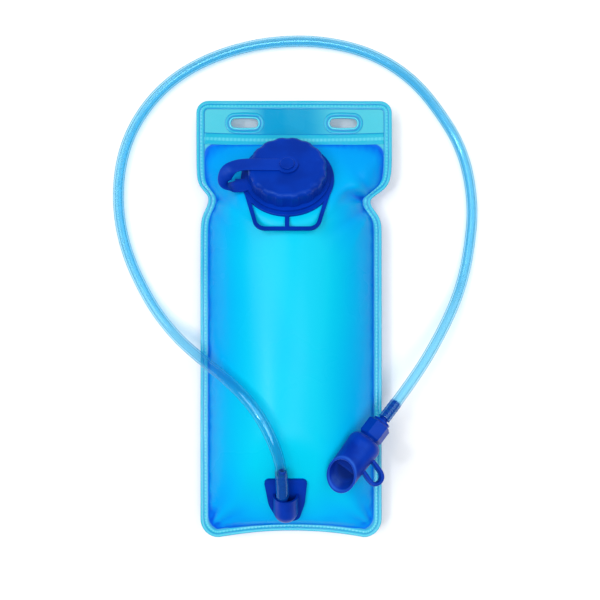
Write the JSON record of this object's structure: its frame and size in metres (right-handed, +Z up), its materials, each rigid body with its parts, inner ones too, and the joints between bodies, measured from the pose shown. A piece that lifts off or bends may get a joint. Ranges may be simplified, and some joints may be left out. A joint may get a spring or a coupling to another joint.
{
  "type": "hydration bladder",
  "caption": "Soft water reservoir with a welded seam, slotted hanging header, tethered screw cap, drink tube and silicone bite valve with twist shut-off.",
  "frame": {"origin": "middle of the reservoir's footprint (tube and bite valve left out), on the floor it lies on", "axes": "+X along the reservoir's width, +Y towards the header with its hang slots, +Z up, away from the back film"},
  "size_m": [0.3241, 0.4414, 0.0773],
  "materials": {
    "bag_film": "satin translucent film",
    "blue_plastic": "semi-matte moulded plastic",
    "soft_blue": "soft moulded plastic",
    "silicone": "matte silicone",
    "clear_tube": "clear blue tube",
    "seal_silicone": "matte silicone seal"
  },
  "bodies": {
    "reservoir": {"bag_front_film": "bag_film", "bag_back_film": "bag_film", "filler_neck": "blue_plastic", "grip_frame": "blue_plastic", "outlet_port": "blue_plastic", "outlet_elbow": "blue_plastic", "outlet_o_ring": "seal_silicone", "drink_tube": "clear_tube", "valve_stem": "blue_plastic", "valve_o_rings": "seal_silicone", "valve_core": "blue_plastic", "mouthpiece": "silicone", "finger_loop": "silicone"},
    "tether": {"tether_ring": "soft_blue", "tether_strap": "soft_blue"},
    "tether_end": {"tether_eye": "soft_blue"},
    "seal": {"cap_gasket": "seal_silicone"},
    "cap": {"cap_shell": "blue_plastic", "cap_button": "blue_plastic"},
    "shutoff": {"valve_collar": "blue_plastic"}
  },
  "joints": [
    {"name": "cap_lift", "type": "slide", "parent": "reservoir", "child": "seal", "axis": [0, 0.515, 0.8572], "range_m": [0, 0.00605]},
    {"name": "cap_turn", "type": "hinge", "parent": "seal", "child": "cap", "pos_m": [-0.0054, 0.11894, 0.04094], "axis": [0, 0.515, 0.8572], "range_deg": [0, 540]},
    {"name": "tether_swivel", "type": "hinge", "parent": "reservoir", "child": "tether", "pos_m": [-0.0054, 0.11894, 0.04094], "axis": [0, 0.515, 0.8572], "range_deg": [-25, 100]},
    {"name": "eye_lift", "type": "slide", "parent": "tether", "child": "tether_end", "axis": [0, 0.515, 0.8572], "range_m": [0, 0.00605], "deforming": ["tether_strap"]},
    {"name": "shutoff_twist", "type": "hinge", "parent": "reservoir", "child": "shutoff", "pos_m": [0.0874, -0.0693, 0.0425], "axis": [-0.6181, -0.7393, 0.2672], "range_deg": [0, 90]}
  ],
  "couplings": [
    {"joint": "cap_lift", "follows": "cap_turn", "m_per_rad": 0.00063662},
    {"joint": "eye_lift", "follows": "cap_turn", "m_per_rad": 0.00063662}
  ]
}
